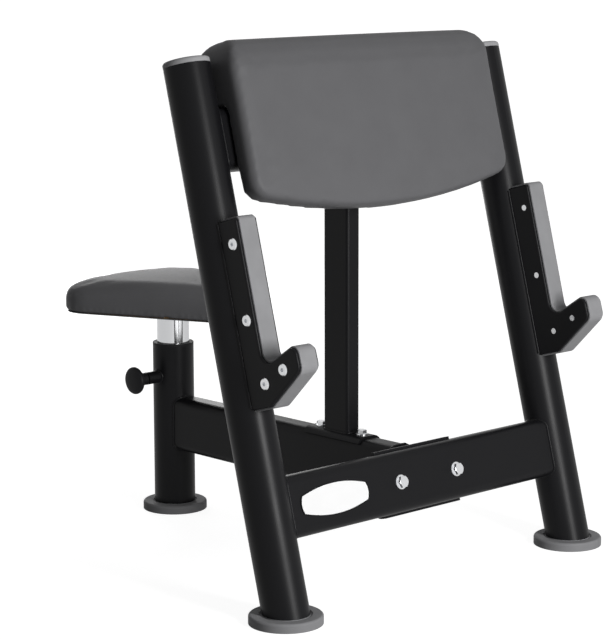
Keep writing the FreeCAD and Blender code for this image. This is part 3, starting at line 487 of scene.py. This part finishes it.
def inflate(piece, is_held, rise):
    """Blows the skin up a little from inside as cloth, held where it is drawn back, its rise capped."""
    held = piece.vertex_groups.new(name="held")
    held.add([v.index for v in piece.data.vertices if is_held(v.co)], 1.0, "REPLACE")
    before = places(piece.data)
    cloth = piece.modifiers.new("skin", "CLOTH")
    cloth.settings.use_pressure = True
    cloth.settings.uniform_pressure_force = CLOTH_PRESSURE
    cloth.settings.vertex_group_mass = "held"
    cloth.settings.effector_weights.gravity = 0.0
    cloth.point_cache.frame_start = 1
    cloth.point_cache.frame_end = CLOTH_FRAMES
    for step in range(1, CLOTH_FRAMES + 1):
        bpy.context.scene.frame_set(step)
    baked(piece)
    bpy.context.scene.frame_set(1)
    moved = places(piece.data) - before
    length = numpy.linalg.norm(moved, axis=1, keepdims=True)
    capped = before + moved * numpy.minimum(1.0, rise / numpy.maximum(length, 1e-9))
    piece.data.vertices.foreach_set("co", capped.ravel())
    piece.data.update()


def cushion(name, node, body, is_fixed, is_held, rise, softness):
    """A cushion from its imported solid: an even mesh with eased edges, inflated, then made finer.

    A fixed place rests on the frame and is left as it is, a held one is where the skin is drawn back."""
    form = bmesh.new()
    form.from_mesh(nodes[node].data)
    bmesh.ops.remove_doubles(form, verts=form.verts, dist=0.00002)
    bmesh.ops.recalc_face_normals(form, faces=form.faces)
    piece = bpy.data.objects.new(name, meshed(name, form))
    bpy.context.scene.collection.objects.link(piece)
    even = piece.modifiers.new("even", "REMESH")
    even.mode = "VOXEL"
    even.voxel_size = VOXEL
    baked(piece)
    eased(piece, is_fixed, softness)
    inflate(piece, is_held, rise)
    eased(piece, is_fixed, softness)
    finer = piece.modifiers.new("finer", "SUBSURF")
    finer.levels = finer.render_levels = 1
    baked(piece)
    piece.data.shade_smooth()
    piece.data.materials.clear()
    piece.data.materials.append(vinyl)
    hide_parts(node)
    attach(piece, body)


FIXED_DEPTH = 0.008
HELD_DEPTH = 0.03
PAD_BACK = 0.0253
PAD_RISE = 0.0018
PAD_SOFTNESS = 2
SEAT_RISE = 0.003
SEAT_SOFTNESS = 7
seat_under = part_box("seat_pad")[0][2]


def on_lean(spot):
    """The height up the leaning frame of a place, and its distance before the crossbeam's front."""
    y = spot.y - FRONT_AXIS_Y
    up = y * math.sin(LEAN) + spot.z * math.cos(LEAN)
    return up, spot.z * math.sin(LEAN) - y * math.cos(LEAN) - PAD_BACK


def on_beam(spot):
    """Whether a place on the arm pad rests on the upper crossbeam."""
    up, before = on_lean(spot)
    return before < FIXED_DEPTH and up > UPPER_BEAM - BEAM_HEIGHT / 2 - FIXED_DEPTH


cushion(
    "arm_pad_vinyl", "arm_pad", "frame",
    on_beam,
    lambda spot: on_lean(spot)[1] < HELD_DEPTH,
    PAD_RISE, PAD_SOFTNESS,
)
cushion(
    "seat_pad_vinyl", "seat_pad", "seat",
    lambda spot: spot.z < seat_under + FIXED_DEPTH,
    lambda spot: spot.z < seat_under + HELD_DEPTH,
    SEAT_RISE, SEAT_SOFTNESS,
)

# Hems and staples
# The vinyl is wrapped round behind the boards, its cut edge held by a row of wire staples.
HEM_THICKNESS = 0.001
STAPLE_SIZE = Vector((0.011, 0.0013, 0.0008))
STAPLE_EDGE = 0.0002


def staples(name, rows, outward, body):
    """Staples along rows, each a start, an end and a count, pressed on a face that looks outward."""
    form = bmesh.new()
    for start, end, count in rows:
        along = (end - start).normalized()
        turn = Matrix((along, outward.cross(along), outward)).transposed().to_4x4()
        for i in range(count):
            spot = Matrix.Translation(start.lerp(end, (i + 0.5) / count))
            bmesh.ops.create_cube(form, size=1, matrix=spot @ turn @ Matrix.Diagonal((*STAPLE_SIZE, 1)))
    bmesh.ops.bevel(
        form, geom=form.edges[:], offset=STAPLE_EDGE, segments=1, profile=0.5, affect="EDGES", material=-1
    )
    linked(name, meshed(name, form), zinc, body)


# The seat's hem lies flat under the board, a ring that follows the seat's plan, in places from the post.
SEAT_HEM = [(-0.033, -0.192), (0.033, -0.192), (0.1855, 0.142), (-0.1855, 0.142)]
SEAT_HEM_WIDTH = 0.036
NOSE_ROUND = 0.018
REAR_ROUND = 0.082
board_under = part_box("seat_board")[0][2]
form = bmesh.new()
corners = [form.verts.new((x, POST_Y + y, board_under)) for x, y in SEAT_HEM]
form.faces.new(corners)
bmesh.ops.bevel(
    form, geom=corners[:2], offset=NOSE_ROUND, segments=8, profile=0.5, affect="VERTICES", material=-1
)
rear_corners = [corner for corner in form.verts if corner.co.y > POST_Y]
bmesh.ops.bevel(
    form, geom=rear_corners, offset=REAR_ROUND, segments=12, profile=0.5, affect="VERTICES", material=-1
)
form.normal_update()
form.faces.ensure_lookup_table()
plan = form.faces[0]
bmesh.ops.inset_region(
    form, faces=[plan], thickness=SEAT_HEM_WIDTH, use_even_offset=True, use_boundary=True
)
bmesh.ops.delete(form, geom=[plan], context="FACES_ONLY")
thickened(form, Vector((0, 0, -HEM_THICKNESS)))
linked("seat_hem", meshed("seat_hem", form), vinyl, "seat")

SEAT_STAPLE_ROWS = [
    ((-0.02, -0.163), (0.02, -0.163), 2),
    ((0.04, -0.13), (0.126, 0.06), 7),
    ((0.1, 0.113), (-0.1, 0.113), 7),
    ((-0.126, 0.06), (-0.04, -0.13), 7),
]
rows = []
for start, end, count in SEAT_STAPLE_ROWS:
    ends = [Vector((x, POST_Y + y, board_under - HEM_THICKNESS)) for x, y in (start, end)]
    rows.append((*ends, count))
staples("seat_staples", rows, Vector((0, 0, -1)), "seat")

# The arm pad's hem shows behind it, from its bowed lower edge to two fingers below the crossbeam.
PAD_HEM_HALF = 0.28
PAD_HEM_LOW = 0.641
PAD_HEM_BOW = 0.03
PAD_HEM_TOP = 0.694
PAD_STAPLE_REACH = 0.255
PAD_STAPLE_LEVEL = 0.685
PAD_STAPLE_COUNT = 13
form = bmesh.new()
bmesh.ops.create_grid(form, x_segments=28, y_segments=2, size=1)
for spot in form.verts:
    low = PAD_HEM_LOW + PAD_HEM_BOW * spot.co.x**2
    v = low + (PAD_HEM_TOP - low) * (spot.co.y + 1) / 2
    spot.co = leaned(PAD_HEM_HALF * spot.co.x, v, BEAM_DEPTH / 2)
behind = leaned(0, 0, -1) - leaned(0, 0, 0)
thickened(form, behind * HEM_THICKNESS)
linked("arm_pad_hem", meshed("arm_pad_hem", form), vinyl, "frame")
ends = [leaned(side * PAD_STAPLE_REACH, PAD_STAPLE_LEVEL, BEAM_DEPTH / 2 - HEM_THICKNESS) for side in (-1, 1)]
staples("arm_pad_staples", [(*ends, PAD_STAPLE_COUNT)], behind, "frame")

# Floor, light and camera
# A white studio floor that keeps the shadow, a soft box straight before the bench, weaker ones behind and
# above it, and a white room that gives little light of its own.
FLOOR_REACH = 60
FLOOR_IN_METAL = 0.6
form = bmesh.new()
bmesh.ops.create_grid(form, x_segments=1, y_segments=1, size=FLOOR_REACH)
floor = bpy.data.objects.new("floor", meshed("floor", form))
bpy.context.scene.collection.objects.link(floor)
white_floor, tree, shader = finish_named("white studio floor", Base_Color=linear(0xA4A4A4), Roughness=0.9)
# The floor as it is seen is a touch below white near the bench, and white from 3 m on.
rays = add(tree, "ShaderNodeLightPath", {})
seen = add(
    tree, "ShaderNodeMath",
    {0: rays.outputs["Is Glossy Ray"], 1: FLOOR_IN_METAL, 2: rays.outputs["Is Camera Ray"]},
    operation="MULTIPLY_ADD",
)
place = add(tree, "ShaderNodeTexCoord", {}).outputs["Object"]
reach = add(tree, "ShaderNodeVectorMath", {0: place}, operation="LENGTH")
white = add(
    tree, "ShaderNodeMapRange",
    {"Value": reach.outputs["Value"], "From Min": 0.8, "From Max": 3.0, "To Min": 0.9, "To Max": 1.0},
)
level = add(
    tree, "ShaderNodeMath", {0: seen.outputs[0], 1: white.outputs["Result"]}, operation="MULTIPLY"
)
glow = add(tree, "ShaderNodeEmission", {"Color": (1, 1, 1, 1), "Strength": level.outputs[0]})
lit = add(tree, "ShaderNodeAddShader", {0: shader.outputs["BSDF"], 1: glow.outputs["Emission"]})
tree.links.new(lit.outputs["Shader"], tree.nodes["Material Output"].inputs["Surface"])
floor.data.materials.append(white_floor)

ROOM_LIGHT = 0.09
ROOM_IN_METAL = 0.6
world = bpy.data.worlds.new("studio")
bpy.context.scene.world = world
world.use_nodes = True
tree = world.node_tree
rays = add(tree, "ShaderNodeLightPath", {})
room = add(
    tree, "ShaderNodeMath",
    {0: rays.outputs["Is Glossy Ray"], 1: ROOM_IN_METAL, 2: ROOM_LIGHT}, operation="MULTIPLY_ADD",
)
level = add(
    tree, "ShaderNodeMath", {0: rays.outputs["Is Camera Ray"], 1: room.outputs[0]}, operation="MAXIMUM"
)
tree.links.new(level.outputs[0], tree.nodes["Background"].inputs["Strength"])
tree.nodes["Background"].inputs["Color"].default_value = (1, 1, 1, 1)


def soft_box(name, place, target, width, height, power):
    """An area light at a place, turned to a target."""
    light = bpy.data.lights.new(name, "AREA")
    light.shape = "RECTANGLE"
    light.size = width
    light.size_y = height
    light.energy = power
    lamp = bpy.data.objects.new(name, light)
    lamp.location = place
    lamp.rotation_euler = (Vector(target) - Vector(place)).to_track_quat("-Z", "Y").to_euler()
    bpy.context.scene.collection.objects.link(lamp)


soft_box("front_box", (-0.2, -2.7, 0.95), (0, -0.2, 0.5), width=0.6, height=1.1, power=53)
soft_box("back_box", (1.4, 2.8, 0.8), (0, 0, 0.5), width=1.6, height=1.6, power=20)
soft_box("top_box", (0.2, 0.3, 3.2), (0, 0.1, 0.4), width=2.2, height=2.2, power=4.5)

CAMERA_PLACE = (-2.618, -2.874, 1.059)
CAMERA_TURN = math.radians(-42.99)
CAMERA_DIP = math.radians(9.73)
CAMERA_ROLL = math.radians(-0.162)
camera_data = bpy.data.cameras.new("camera")
camera_data.lens = 125.81
camera_data.sensor_width = 36
camera = bpy.data.objects.new("camera", camera_data)
camera.matrix_world = (
    Matrix.Translation(CAMERA_PLACE)
    @ Matrix.Rotation(CAMERA_TURN, 4, "Z")
    @ Matrix.Rotation(math.pi / 2 - CAMERA_DIP, 4, "X")
    @ Matrix.Rotation(CAMERA_ROLL, 4, "Z")
)
bpy.context.scene.collection.objects.link(camera)
bpy.context.scene.camera = camera
